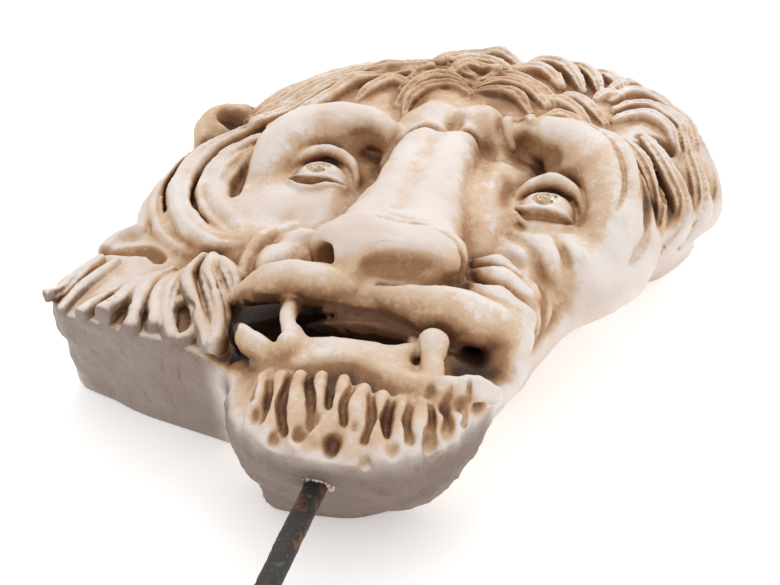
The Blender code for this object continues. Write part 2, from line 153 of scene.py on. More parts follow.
def roll(clay, points, wide, high=None, blend=2.0, cut=False, power=2.0, strands=0, groove=0.0):
    """A tapering roll through points, with half-widths and half-heights along it."""
    line = through(points)
    count = len(line)
    wide = along(wide, count)
    high = wide if high is None else along(high, count)
    reach = max(wide.max(), high.max()) + blend + 3 * clay.step
    cuts, x_all, y_all, z_all = clay.window(line.min(0) - reach, line.max(0) + reach)
    shape = np.full(np.broadcast(x_all, y_all, z_all).shape, 1e3, np.float32)
    for i in range(count - 1):
        start, run = line[i], line[i + 1] - line[i]
        length = np.linalg.norm(run)
        if length < 1e-6 or 0 in shape.shape:
            continue
        ahead = run / length
        side = np.cross(ahead, (0, 0, 1))
        side /= max(np.linalg.norm(side), 1e-6)
        up = np.cross(side, ahead)
        near = []
        for axis, field in enumerate((x_all, y_all, z_all)):
            first = clay.axes[axis][cuts[axis]][0]
            low = min(line[i][axis], line[i + 1][axis]) - reach
            top = max(line[i][axis], line[i + 1][axis]) + reach
            near.append(slice(int(max(0, (low - first) // clay.step)),
                              int(min(shape.shape[axis], (top - first) // clay.step + 2))))
        x = x_all[near[0]] - start[0]
        y = y_all[:, near[1]] - start[1]
        z = z_all[:, :, near[2]] - start[2]
        t = np.clip((x * run[0] + y * run[1] + z * run[2]) / length ** 2, 0, 1)
        x, y, z = x - t * run[0], y - t * run[1], z - t * run[2]
        a = wide[i] + (wide[i + 1] - wide[i]) * t
        b = high[i] + (high[i + 1] - high[i]) * t
        across = (x * side[0] + y * side[1] + z * side[2]) / a
        above = (x * up[0] + y * up[1] + z * up[2]) / b
        beyond = (x * ahead[0] + y * ahead[1] + z * ahead[2]) / a
        if power == 2.0:
            out = np.sqrt(across ** 2 + above ** 2 + beyond ** 2)
            piece = out * (out - 1) / np.maximum(
                np.sqrt((across / a) ** 2 + (above / b) ** 2 + (beyond / a) ** 2), 1e-6)
        else:
            out = (abs(across) ** power + abs(above) ** power + abs(beyond) ** power) ** (1 / power)
            piece = (out - 1) * np.minimum(a, b)
        if strands > 1:
            crest = 0.5 - 0.5 * np.cos(np.pi * (across + 1) * strands)
            piece = piece + groove * (1 - crest) ** 2 * np.clip(above * 1.5 + 0.6, 0, 1)
        view = shape[tuple(near)]
        np.minimum(view, piece, out=view)
    (clay.carve if cut else clay.join)(cuts, shape, blend)


def lock(clay, route, wide, lift=0.0, blend=1.6, high=1.1, strands=0, groove=0.0):
    """A lock of hair laid over the surface along a route seen from the front."""
    lifts = along(lift, len(route)) if isinstance(lift, list) else [lift] * len(route)
    line = [(x, y, clay.height(x, y) + rise) for (x, y), rise in zip(route, lifts)]
    roll(clay, line, wide, [w * high for w in wide], blend, strands=strands, groove=groove)


def score(clay, route, wide=1.2, deep=2.0, blend=0.9):
    """A groove cut into the surface along a route, running out at its ends."""
    count = len(route)
    fade = [0.55 if i in (0, count - 1) else 1.0 for i in range(count)]
    line = [(x, y, clay.height(x, y) + 0.5) for x, y in route]
    roll(clay, line, [wide * f for f in fade], [deep * f for f in fade], blend, cut=True)


def ease(t):
    t = np.clip(t, 0, 1)
    return t * t * (3 - 2 * t)


def outline_distance(x, y, ring):
    """Signed distance in the plane to a closed ring, negative inside."""
    best = np.full(np.broadcast(x, y).shape, 1e9)
    inside = np.zeros(best.shape, bool)
    for p, q in zip(ring, np.roll(ring, -1, 0)):
        run = q - p
        t = np.clip(((x - p[0]) * run[0] + (y - p[1]) * run[1]) / (run @ run), 0, 1)
        best = np.minimum(best, (x - p[0] - t * run[0]) ** 2 + (y - p[1] - t * run[1]) ** 2)
        rise = run[1] if run[1] else 1e-9
        inside ^= ((p[1] > y) != (q[1] > y)) & (x < p[0] + (y - p[1]) * run[0] / rise)
    distance = np.sqrt(best)
    return np.where(inside, -distance, distance)


# The block: its outline on the floor, and its rim with the height of the edge.
FOOT = [(-153, -67), (-130, -79), (-109, -88), (-58, -101), (-44, -116), (-33, -142), (-15, -143),
        (0, -140), (12, -133), (22, -122), (34, -90), (48, -40), (52, -12), (56, 16), (61, 36),
        (75, 69), (92, 88), (103, 101), (113, 132), (98, 152), (55, 166), (0, 166), (-55, 150),
        (-100, 122), (-128, 75), (-140, 20), (-148, -30)]
RIM = [(-162, -76, 55), (-151, -98, 56), (-135, -99, 56), (-112, -104, 56), (-90, -107, 56),
       (-70, -120, 57), (-56, -134, 60), (-47, -156, 62), (-30, -176, 62), (3, -190, 62),
       (36, -174, 62), (57, -144, 62), (66, -114, 62), (73, -85, 60), (82, -50, 58), (95, -10, 58),
       (112, 35, 60), (129, 70, 60), (131, 90, 58), (122, 108, 66), (108, 135, 70), (88, 160, 72),
       (70, 170, 74), (52, 174, 76), (20, 176, 78), (-3, 172, 80), (-25, 160, 78), (-50, 152, 74),
       (-75, 152, 72), (-92, 138, 70), (-110, 121, 69), (-131, 99, 66), (-138, 78, 62),
       (-142, 40, 60), (-141, 0, 60), (-150, -30, 58), (-161, -55, 56)]

clay = Clay((-176, -205, -3), (145, 195, 130), CARVE_STEP)
x, y, z = clay.axes[0][:, None], clay.axes[1][None, :], clay.axes[2][None, None, :]
foot = outline_distance(x, y, through(FOOT, 3, closed=True))
x_wide, y_wide = clay.axes[0][:, None, None], clay.axes[1][None, :, None]
rim = outline_distance(x, y, through([p[:2] for p in RIM], 3, closed=True))
pull = [1 / (((x - p[0]) ** 2 + (y - p[1]) ** 2) ** 1.5 + 200) for p in RIM]
edge_height = sum(w * p[2] for w, p in zip(pull, RIM)) / sum(pull)
lean = np.clip(z / SIDE_TOP, 0, 1)
sides = (foot[:, :, None] * (1 - lean) + rim[:, :, None] * lean) * 0.93
hair_flat = ease((-66 - x) / 40) * ease((-28 - y) / 30)
ground = edge_height + (FACE_TOP - edge_height) * ease(-rim / 80) * (1 - 0.75 * hair_flat)
face = (z - ground[:, :, None]) * 0.85
crisp = np.clip((-60 - x) / 40, 0, 1) * np.clip((-50 - y) / 25, 0, 1)
blend = (14 - 11 * crisp)[:, :, None]
near = np.maximum(blend - np.abs(sides - face), 0) / blend
clay.depth[:] = np.maximum(sides, face) + near * near * blend / 4

# Chin, cut back under itself to the floor.
egg(clay, (4, -128, 48), (54, 54, 36), 12)
everywhere = (slice(None), slice(None), slice(None))
under = np.where(y_wide < -100, (-y_wide - CHIN_FOOT - CHIN_LEAN * z) * 0.8, -50).astype(np.float32)
clay.carve(everywhere, np.broadcast_to(-under, clay.depth.shape), 5)

# Cheeks, muzzle, forehead, and the flat bridge of the nose with its flanks.
egg(clay, (-71, 8, 67), (36, 34, 16), 12)
egg(clay, (76, 8, 60), (33, 44, 20), 14)
egg(clay, (-6, -62, 66), (52, 22, 20), 8)
egg(clay, (-8, 92, 62), (84, 62, 31), 14)
egg(clay, (30, 14, 66), (18, 54, 27), 10)
egg(clay, (-43, 4, 66), (12, 38, 20), 10)
roll(clay, [(-34, 58, 80), (-50, 60, 81), (-66, 56, 80), (-80, 44, 77), (-88, 28, 73), (-88, 8, 68)],
     [11, 13, 14, 13, 11, 8], None, 8)
roll(clay, [(36, 70, 80), (54, 70, 81), (70, 64, 80), (84, 50, 76), (92, 32, 71), (94, 12, 65), (92, -6, 60)],
     [11, 13, 14, 13, 12, 10, 8], None, 8)
roll(clay, [(-3, 76, 82), (-3, 34, 83), (-2, -10, 82), (1, -56, 83)], [18, 20, 24, 30], [18, 19, 20, 21.5], 8,
     power=3.2)

# Brows: heavy rolls that overhang the eyes and turn down outside them.
roll(clay, [(-29, 45, 92), (-41, 48, 94), (-56, 47, 94), (-69, 41, 92), (-78, 29, 89), (-81, 16, 84),
            (-81, 4, 76)],
     [7, 10, 11.5, 12, 11.5, 10, 7], [8, 10, 10.5, 11, 11, 10, 8], 4)
roll(clay, [(33, 57, 92), (50, 58, 94), (65, 54, 93), (78, 43, 91), (86, 28, 87), (89, 12, 82), (88, -3, 74)],
     [8, 12, 14, 14, 13, 12, 9], [9, 11, 12, 12, 12, 11, 9], 5)
roll(clay, [(-48, 38, 85), (-58, 38, 86), (-70, 32, 85), (-76, 20, 82), (-77, 8, 76)], [6, 8, 8, 7, 6], None, 5)
roll(clay, [(56, 46, 84), (67, 42, 86), (77, 31, 84), (82, 16, 80), (82, 2, 74)], [7, 10, 10, 9, 7], None, 6)
egg(clay, (-38, 34, 93), (8, 8, 7), 5, cut=True)
egg(clay, (36, 45, 94), (9, 9, 10), 4, cut=True)
egg(clay, (48, 42, 93), (8, 5, 6), 5, cut=True)
egg(clay, (-33, 4, 90), (8, 22, 10), 8, cut=True)
egg(clay, (39, 12, 92), (4, 14, 7), 6, cut=True)

# Two knobs over the bridge, with swells of hair above them.
roll(clay, [(1, 62, 92), (-10, 64, 93), (-19, 55, 90), (-23, 42, 86), (-26, 30, 83)], [7, 10, 9, 6, 3.5],
     [9, 10, 9, 6, 4], 4)
roll(clay, [(5, 64, 92), (14, 65, 93), (22, 58, 89), (28, 50, 84), (34, 42, 79)], [7, 10, 8, 5, 3.5],
     [9, 10, 8, 6, 4], 4)
egg(clay, (2, 52, 104), (5, 9, 9), 4, cut=True)
clay.survey(2)
for route in ([(-27, 66), (-28, 80), (-23, 91), (-14, 97), (-5, 92), (2, 83)],
              [(-33, 77), (-31, 92), (-25, 105), (-15, 109), (-5, 105)],
              [(-36, 93), (-32, 108), (-25, 119), (-15, 123), (-4, 119)],
              [(-56, 84), (-50, 96), (-42, 103), (-33, 98)], [(-60, 100), (-52, 113), (-42, 118), (-34, 112)],
              [(2, 85), (6, 96), (13, 102), (23, 99), (32, 88)],
              [(0, 101), (7, 112), (16, 116), (28, 110), (37, 100)],
              [(0, 116), (8, 127), (19, 127), (31, 118), (41, 105)],
              [(33, 102), (42, 108), (52, 104), (62, 92)],
              [(41, 116), (48, 122), (56, 117), (66, 106)], [(38, 88), (47, 94), (57, 90), (66, 80)]):
    lock(clay, route, [2.5, 4.6, 5.4, 5.2, 3.5], 0.2, 1.6, 1, 2, 1.5)

# Eyes: a ball under a raised upper lid, with an incised iris and two lower lids.
for x, y, size in ((-54, 11, 15.5), (57, 9, 15.5)):
    egg(clay, (x, y, 76), (size, size * 0.86, 15), 1.5)
    lid = [(x - 1.1 * size * math.cos(t), y + 1.12 * size * math.sin(t) - 1, 77 + 12 * math.sin(t))
           for t in np.radians((-14, 18, 50, 90, 130, 162, 194))]
    roll(clay, lid, [2, 2.6, 3, 3.2, 3, 2.6, 2], [3, 4, 4.4, 4.6, 4.4, 4, 3], 1.2)
    clay.survey(0)
    for ring in (5.2, 2.2):
        score(clay, [(x - 1 + ring * math.cos(t), y + 1 + 0.85 * ring * math.sin(t))
                     for t in np.linspace(0, math.tau, 13)], 1.15, 2.8, 0.4)
    for drop, arch, width in ((7.5, 3, 1.8), (12.5, 5, 2.3)):
        lock(clay, [(x + t * size * 0.88, y - drop + arch * t * t) for t in (-1, -0.5, 0, 0.5, 1)],
             [width * 0.7, width, width, width, width * 0.7], 0.3, 0.8, 1)
    score(clay, [(x + t * size * 0.84, y - 10 + 3.5 * t * t) for t in (-1, -0.5, 0, 0.5, 1)], 1.3, 3)
# Cheekbones that come up to the lower lids.
egg(clay, (-56, -12, 70), (24, 13, 13), 5)
egg(clay, (63, -16, 69), (26, 16, 14), 6)
# Ridges and grooves along the brows.
clay.survey(1)
lock(clay, [(57, 70), (71, 66), (83, 54), (91, 38), (96, 20), (96, 2)], [1.6, 2.4, 2.8, 2.8, 2.4, 1.6], -0.3,
     1.6, 1)
score(clay, [(60, 62), (71, 58), (81, 47), (88, 33), (92, 17), (91, 4)], 1.4, 2.2)
score(clay, [(70, 76), (84, 66), (95, 50), (102, 32), (104, 12), (101, -8)], 2.6, 4, 2)
lock(clay, [(31, 50), (27, 58), (30, 66), (36, 65), (38, 57)], [2.5, 3.2, 3.6, 3.2, 2], 1.5, 1.2, 1)
lock(clay, [(-86, 33), (-80, 46), (-68, 55), (-52, 58), (-38, 56)], [1.5, 2.4, 2.8, 2.4, 1.5], -0.3, 2, 1)
score(clay, [(-90, 40), (-82, 54), (-68, 63), (-50, 66), (-36, 64)], 2, 2.6, 2)

# Upper lip: two rolls that meet in a cleft under the nose, and the inner lip.
roll(clay, [(-4, -84, 84), (-13, -87, 87), (-24, -88, 88), (-36, -87, 87), (-48, -88, 84), (-57, -90, 79)],
     [5, 7.5, 9, 9.8, 9.5, 6.5], [5, 7.5, 9, 9.6, 9, 6.5], 2.5)
roll(clay, [(-2, -84, 84), (7, -88, 86), (18, -91, 87), (30, -92, 86), (42, -91, 83), (53, -88, 78),
            (63, -83, 71)], [5, 8, 11, 13, 13, 12, 8], [5, 8, 10.5, 12, 11.5, 10.5, 8], 6)
egg(clay, (60, -92, 59), (9, 17, 11), 7)
roll(clay, [(-57, -87, 78), (-38, -90, 81), (-15, -91, 82), (3, -91, 82), (20, -95, 80), (38, -98, 75)],
     [4, 5, 5.5, 5.5, 5.5, 5], [5, 4.5, 4.5, 4.5, 5, 6], 2)
# Pads where the whiskers grow, and the folds round the muzzle.
egg(clay, (50, -56, 67), (23, 27, 12), 7)
roll(clay, [(37, -67, 79), (50, -71, 79), (63, -74, 75)], [5, 9, 6.5], [5, 8, 6.5], 2.5)
roll(clay, [(36, -52, 79), (48, -54, 80), (62, -58, 76)], [3.5, 7, 5], [4, 6.5, 5], 2)
roll(clay, [(35, -40, 79), (45, -39, 79), (57, -43, 75)], [2.5, 5, 3.5], [3, 5, 4], 2)
egg(clay, (-52, -60, 76), (12, 12, 10), 5)
egg(clay, (-45, -44, 78), (12, 9, 9), 5)
roll(clay, [(-52, -21, 74), (-59, -34, 76), (-66, -43, 76), (-69, -54, 72), (-68, -67, 70)],
     [2.5, 4, 4.5, 4.5, 3], [4, 5, 6, 6, 4], 3)
clay.survey(1)
score(clay, [(46, -13), (56, -23), (66, -38), (71, -54), (72, -66)], 2.4, 3, 4)
score(clay, [(66, -12), (75, -28), (78, -46), (76, -62)], 2.2, 2.5, 4)

# Nose: a broad tip cut back underneath, two wings and the ridge to the lip.
egg(clay, (8, -74, 81), (26, 10, 9), 4)
egg(clay, (-1, -63, 92.5), (31, 13, 11.5), 9, power=2.6)
egg(clay, (-25, -66, 94), (10, 10, 10), 3)
egg(clay, (24, -59, 93), (10, 10, 9), 3)
roll(clay, [(-6, -68, 96), (-6, -76, 90), (-5, -82, 84)], [12, 8, 4], [8, 7, 5], 3, power=2.6)
roll(clay, [(-30, -78, 96), (-25, -74, 92), (-17, -64, 88)], [6.5, 7.5, 5], [6, 7.5, 6], 2, cut=True)
egg(clay, (15, -81, 96), (21, 8, 7), 8, cut=True)
roll(clay, [(2, -85, 88), (14, -84, 89), (27, -78, 89), (36, -69, 86)], [2, 3, 3, 2], [3, 4.5, 4.5, 3], 3,
     cut=True)
clay.survey(0)
score(clay, [(-12, -51), (-2, -55), (10, -55), (18, -52)], 1.6, 2.2, 2)
score(clay, [(-8, -46), (4, -50), (16, -49)], 1.5, 1.8, 2)
score(clay, [(16, -56), (25, -57), (33, -62), (36, -69)], 1.8, 2.2, 2)
score(clay, [(-37, -58), (-36, -50), (-30, -45), (-22, -43)], 1.8, 3, 2)
score(clay, [(-3, 36), (-4, 15), (-4, -8), (-3, -38)], 3.4, 1.6, 5)
score(clay, [(-22, 37), (-12, 45), (-2, 43), (7, 47), (16, 48), (25, 40)], 2, 4, 2.5)

# Locks of the mane that sweep from the left brow round the cheek.
roll(clay, [(-95, 18, 82), (-95, 8, 80), (-92, -5, 77)], [3, 4.5, 3], [8, 10, 7], 4, cut=True)
roll(clay, [(-96, 51, 74), (-107, 40, 70), (-112, 21, 67), (-110, 1, 66), (-102, -14, 66), (-89, -30, 68),
            (-79, -38, 70)],
     [4, 5, 6, 6, 6, 5.5, 3.5], [7, 9, 10, 10, 9, 8, 6], 2, strands=2, groove=1.3)
roll(clay, [(-97, 43, 72), (-103, 33, 70), (-106, 17, 68), (-104, 1, 68), (-96, -14, 69), (-84, -28, 71),
            (-78, -36, 72)],
     [3, 4, 5, 6, 6, 5, 3], [6, 8, 10, 10, 10, 8, 5])
roll(clay, [(-103, 66, 72), (-118, 52, 67), (-125, 32, 63), (-124, 9, 62), (-116, -13, 62), (-103, -32, 64),
            (-89, -42, 66), (-77, -42, 68)], [4, 6, 8, 9, 9, 9, 8, 5], [7, 9, 11, 12, 12, 12, 11, 8], 2.5,
     strands=2, groove=1.6)
roll(clay, [(-112, 64, 68), (-125, 51, 64), (-133, 33, 60), (-135, 11, 57), (-129, -10, 57), (-119, -28, 58),
            (-104, -41, 60), (-94, -45, 62)], [3, 4.5, 5.5, 6.5, 7, 7, 6, 4], [6, 8, 9, 10, 10, 10, 9, 6], 2.5,
     strands=2, groove=1.8)
roll(clay, [(-139, 41, 56), (-142, 20, 53), (-141, 2, 51), (-131, -19, 52), (-121, -33, 54)],
     [2.5, 3.5, 4.5, 4.5, 3], [5, 7, 8, 8, 6])
roll(clay, [(-104, 44, 74), (-115, 31, 69), (-117, 14, 66), (-114, -4, 66), (-105, -19, 66), (-93, -33, 68),
            (-80, -41, 70)],
     [1.2, 1.8, 2.2, 2.2, 2.2, 1.8, 1.2], [3, 4, 4.8, 4.8, 4.8, 4, 3], cut=True)
roll(clay, [(-118, 54, 70), (-131, 41, 64), (-134, 18, 60), (-128, -3, 60), (-119, -20, 60), (-106, -34, 61),
            (-94, -44, 63)],
     [1, 1.6, 2, 2.2, 2.4, 2.4, 1.8], [3.5, 5, 6, 6, 6, 6, 5], cut=True)
roll(clay, [(-148, -37, 56), (-144, -27, 56), (-134, -23, 60)], [3, 4, 4], [4, 5, 5])
roll(clay, [(-147, -40, 56), (-137, -39, 59), (-125, -40, 61), (-116, -47, 62)], [2, 3.5, 4, 3], [4, 5, 6, 5],
     1.5, cut=True)

# The fan of flatter strands that runs out to the broken corner.
clay.survey(1)
lock(clay, [(-145, -49), (-149, -63), (-153, -79), (-155, -92)], [2.6, 3.4, 3.4, 2.6], 1, 1.2, 1.3)
lock(clay, [(-136, -50), (-142, -66), (-146, -81), (-147, -94)], [2, 2.8, 3, 2.6], 1, 1.2, 1.3)
lock(clay, [(-127, -74), (-132, -82), (-136, -96)], [2, 2.8, 3], 1, 1.2, 1.3)
lock(clay, [(-112, -61), (-119, -71), (-123, -84), (-124, -100)], [2.8, 4, 4.4, 4.6], 1.2, 1.2, 1.3)
lock(clay, [(-106, -56), (-112, -66), (-114, -80), (-111, -100)], [2.6, 3.6, 4, 4.2], 1.6, 1.2, 1.3)
lock(clay, [(-100, -57), (-105, -66), (-106, -80), (-101, -97)], [2.4, 3.2, 3.6, 3.8], 2, 1.2, 1.3)
lock(clay, [(-95, -53), (-98, -61), (-100, -74), (-97, -90), (-90, -103)], [3, 4.4, 4.8, 4.6, 3.4], 2, 1.2, 1.2)
# A small curl that hooks inwards, and the tall curls beside the mouth.
lock(clay, [(-94, -80), (-91, -76), (-85, -80), (-81, -91), (-81, -101), (-86, -104)],
     [2.4, 3, 3.4, 3.6, 3.2, 2.2], 3, 1.2, 1.1)
lock(clay, [(-91, -53), (-95, -60), (-93, -70), (-85, -83), (-76, -100), (-70, -114)],
     [3, 3.8, 4.2, 4.4, 4.2, 3], 4.5, 1.2, 1.2)
lock(clay, [(-86, -56), (-85, -66), (-78, -79), (-70, -95), (-66, -110), (-66, -118)],
     [3.2, 4.6, 5, 5, 4.6, 3.2], 5.5, 1.2, 1.2)
lock(clay, [(-81, -58), (-74, -67), (-69, -75), (-68, -82)], [3, 4.4, 4.4, 3], 4, 1.4, 1)
clay.survey(0)
for route in ([(-92, -66), (-84, -81), (-75, -98)], [(-83, -66), (-75, -79), (-67, -95), (-63, -107)],
              [(-87, -70), (-79, -83), (-71, -98)], [(-89, -84), (-84, -91), (-83, -98)],
              [(-78, -65), (-73, -72), (-70, -79)], [(-121, -75), (-124, -86), (-125, -96)],
              [(-97, -62), (-99, -75), (-96, -88)], [(-148, -62), (-151, -78), (-152, -90)]):
    score(clay, route, 1.1, 2.2)

# Left ear, half hidden, and the long strands that pass over it to the mane.
roll(clay, [(-132, 64, 62), (-134, 76, 64), (-130, 88, 64), (-120, 95, 64)], [5, 6, 6, 5], [8, 9, 9, 7], 4)
egg(clay, (-128, 76, 60), (12, 12, 12), 4)
egg(clay, (-121, 82, 70), (9, 8, 11), 3, cut=True)
clay.survey(2)
for row in range(5):
    inward = 4 + 10 * row
    strand = [(-26, 158 - inward), (-48, 149 - inward), (-70 + 0.2 * inward, 145 - inward),
              (-90 + 0.4 * inward, 131 - 0.95 * inward), (-106 + 0.4 * inward, 112 - 0.9 * inward),
              (-116 + 0.35 * inward, 92 - 0.75 * inward)]
    lock(clay, [(x, y + 3.5 * math.sin(1.7 * row + i)) for i, (x, y) in enumerate(strand)],
         [2.4, 4.6, 5.2, 5.4, 5, 3.6], 0.8, 1.4, 1.1, 2, 1.5)
egg(clay, (-94, 96, 84), (5, 4, 7), 2, cut=True)
egg(clay, (-103, 84, 78), (4, 5, 6), 2, cut=True)

# Tufts that stand along the top edge.
for route, lift in (([(-28, 128), (-25, 144), (-19, 154), (-10, 161), (-1, 163), (8, 158), (15, 148)], 4),
                    ([(-23, 122), (-20, 135), (-13, 145), (-3, 149), (5, 143), (10, 135)], 3),
                    ([(-16, 116), (-11, 127), (-2, 132), (7, 127)], 2),
                    ([(11, 139), (16, 150), (23, 154), (30, 149), (35, 140), (39, 130)], 3),
                    ([(16, 159), (24, 165), (34, 163), (43, 152), (49, 139)], 3),
                    ([(30, 167), (38, 169), (46, 165), (53, 155), (57, 144)], 2),
                    ([(47, 168), (56, 166), (64, 158), (70, 148)], 1.5),
                    ([(-52, 146), (-44, 154), (-34, 156), (-26, 148)], 2)):
    lock(clay, route, [2.5, 4, 4.8, 4.6, 4, 2.5], lift, 1.4, 1.1, 3, 1.5)

# Right ear: an opening ringed by curls, and the hair that falls behind it.
egg(clay, (92, 108, 56), (28, 33, 19), 8)
clay.survey(2)
for route in ([(69, 112), (74, 123), (82, 128), (91, 123), (99, 113), (104, 99)],
              [(67, 126), (74, 138), (84, 141), (94, 134), (103, 121), (109, 104)],
              [(64, 138), (72, 151), (83, 153), (95, 146), (105, 132), (112, 114)],
              [(60, 148), (70, 161), (82, 163)], [(56, 134), (60, 142), (66, 146)]):
    lock(clay, route, [2.2, 3.6, 4.2, 4.2, 4, 2.8], 1.2, 1.3, 1.2, 2, 1.7)
roll(clay, [(78, 92, 80), (88, 80, 78), (97, 66, 74), (103, 52, 68), (104, 40, 60), (98, 32, 52)],
     [3, 5, 6, 6, 5, 4], None, 2, strands=3, groove=1.6)
roll(clay, [(88, 98, 79), (97, 86, 76), (106, 74, 70), (113, 64, 62), (113, 56, 53), (106, 48, 44)],
     [3, 5, 6, 6, 5.5, 4], None, 2, strands=3, groove=1.6)
roll(clay, [(103, 118, 73), (112, 100, 68), (119, 84, 62), (121, 72, 54), (114, 62, 44)],
     [3.5, 5, 6, 6, 4], None, 2, strands=3, groove=1.6)
roll(clay, [(107, 132, 68), (117, 114, 63), (124, 96, 57), (124, 84, 49), (116, 74, 40)],
     [3, 4.5, 5.5, 5.5, 4], None, 2, strands=2, groove=1.6)
roll(clay, [(86, 107, 80), (93, 104, 77), (101, 98, 74)], [3.5, 5, 3.5], [8, 11, 8], 1.4, cut=True)
roll(clay, [(96, 79, 82), (102, 66, 78), (107, 52, 72)], [1.2, 2.6, 1.5], [4, 7, 4], 1.6, cut=True)

# The open mouth, a low row of teeth, and the pit at its right corner.
roll(clay, [(-59, -99, 72), (-49, -106, 72), (-35, -109, 72), (-17, -112, 72), (1, -113, 72), (16, -112, 72)],
     [6, 8, 8.5, 8.5, 8.5, 7], [22, 28, 34, 36, 34, 26], 2.5, cut=True)
roll(clay, [(-54, -98, 60), (-34, -95, 61), (-10, -97, 61), (14, -101, 60)], [7, 9, 9, 7], [11, 13, 14, 11],
     1.5, cut=True)
egg(clay, (42, -119, 83), (19, 11, 13), 4, cut=True)
roll(clay, [(46, -112, 72), (60, -106, 69), (66, -102, 68)], [6, 5.5, 4], [7, 8, 6], 3, cut=True)
for tooth in range(6):
    egg(clay, (-19 + 5.2 * tooth, -97 - 0.4 * tooth, 80 - 0.3 * tooth), (2.7, 2.2, 2.4), 0.8)
# Lower lip: a crest that dips at both ends, and the hollow face below it.
clay.survey(1)
chin_skin = clay.surface
roll(clay, [(-48, -136, 80), (-32, -144, 84), (-13, -147, 87), (3, -148, 87), (19, -150, 86), (35, -151, 84),
            (50, -146, 79), (60, -142, 72)],
     [6, 9, 12, 12, 11, 9, 7, 5], [8, 11, 13, 13, 12, 10, 8, 5], 3, cut=True)
roll(clay, [(-57, -108, 70), (-50, -118, 73), (-41, -125, 73), (-33, -129, 72), (-22, -127, 73),
            (-9, -124, 74.5), (3, -126, 74), (14, -131, 73), (25, -136, 73), (36, -138, 73), (47, -136, 73),
            (56, -131, 74), (64, -129, 71)],
     [2.5, 4.5, 5, 5.5, 6, 6.5, 6.5, 6, 5.5, 5, 4.5, 4.5, 3], [4, 7, 8, 8, 8.5, 9, 9, 9, 8.5, 8, 7.5, 6, 4], 3)

# Fangs: a tapering one on the left, a blunt one on the right with its side lobe.
roll(clay, [(-36, -96, 80), (-33, -110, 81), (-29, -121, 80), (-27, -127, 79)], [5, 3.2, 3.8, 6.5], None, 2)
roll(clay, [(-28, -116, 79), (-22, -124, 79)], [3, 3], None, 2)
roll(clay, [(34, -115, 83), (35, -124, 80), (37, -133, 76)], [6.8, 5, 6], None, 2)
roll(clay, [(28, -117, 80), (21, -123, 78), (14, -129, 76)], [3.5, 5.5, 4])

# Beard: short tufts left standing between channels drilled down the chin.
CHANNELS = [(-37, -147, -35, -158, 1.6), (-30, -150, -27, -168, 2.0), (-21, -151, -16, -173, 2.7),
            (-11, -154, -5, -172, 2.6), (-2, -152, 1, -164, 1.9), (8, -155, 9, -169, 2.1),
            (17, -157, 19, -173, 2.2), (25, -157, 27, -168, 2.8), (33, -154, 36, -166, 2.2),
            (41, -150, 42, -160, 2.3), (47, -141, 49, -149, 2.3), (54, -136, 55, -146, 2.0)]
clay.surface = chin_skin
for number, (channel, following) in enumerate(zip(CHANNELS, CHANNELS[1:])):
    (x, y, end_x, end_y), (x2, y2, end_x2, end_y2) = channel[:4], following[:4]
    sway = 1.8 * math.sin(1.9 * number)
    lock(clay, [((x + x2) / 2, (y + y2) / 2 + 5),
                ((x + x2 + end_x + end_x2) / 4 + sway, (y + y2 + end_y + end_y2) / 4),
                ((end_x + end_x2) / 2 - sway, (end_y + end_y2) / 2 - 4)], [3.4, 5, 3.6], -1.2, 3.5, 1)
clay.survey(1)
for number, (x, y, end_x, end_y, size) in enumerate(CHANNELS):
    sway = 1.9 * math.sin(2.3 * number)
    middle = ((x + end_x) / 2 + sway, (y + end_y) / 2)
    line = [(x, y + 2, clay.height(x, y + 2)), (*middle, clay.height(*middle) - 1),
            (end_x, end_y, clay.height(end_x, end_y) - 1)]
    roll(clay, line, [size * 0.45, size * 0.85, size * 0.6], [size * 0.8, size * 1.6, size], 1.8, cut=True)
HOLES = [(-31, -170, 2.6), (-20, -179, 2.2), (-9, -176, 3.4), (-3, -171, 2.6), (6, -178, 4.2), (14, -174, 2),
         (21, -181, 2), (31, -174, 3.4), (37, -169, 2), (44, -164, 3.2), (-12, -149, 1.8), (39, -144, 2.4),
         (49, -155, 2.8), (46, -147, 2), (52, -143, 2.6), (57, -128, 2)]
for x, y, size in HOLES:
    drop = 2 + 1.5 * math.sin(5 * x)
    tall = size * (1.5 + 0.4 * math.sin(3 * x))
    egg(clay, (x, y + drop, clay.height(x, y + drop) + 0.4), (size * 0.8, tall, size * 1.3), 2.6, cut=True)

# Everything ends at the broken corner.
broken_off = np.where((x_wide < -58) & (y_wide < -52), sides - 0.6, -50).astype(np.float32)
clay.carve(everywhere, -broken_off, 1.2)

# The drilled hole for the rod, and the flat back.
rod_low, rod_high = (np.array(corner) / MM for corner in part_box("rod"))
rod_x, rod_z = (rod_low[0] + rod_high[0]) / 2, (rod_low[2] + rod_high[2]) / 2
rod_radius = (rod_high[0] - rod_low[0]) / 2
roll(clay, [(rod_x, -215, rod_z), (rod_x, rod_high[1] - 3, rod_z)],
     [rod_radius + HOLE_PLAY, rod_radius + HOLE_PLAY / 2], None, 0.8, cut=True)
clay.depth = np.maximum(clay.depth, -z)


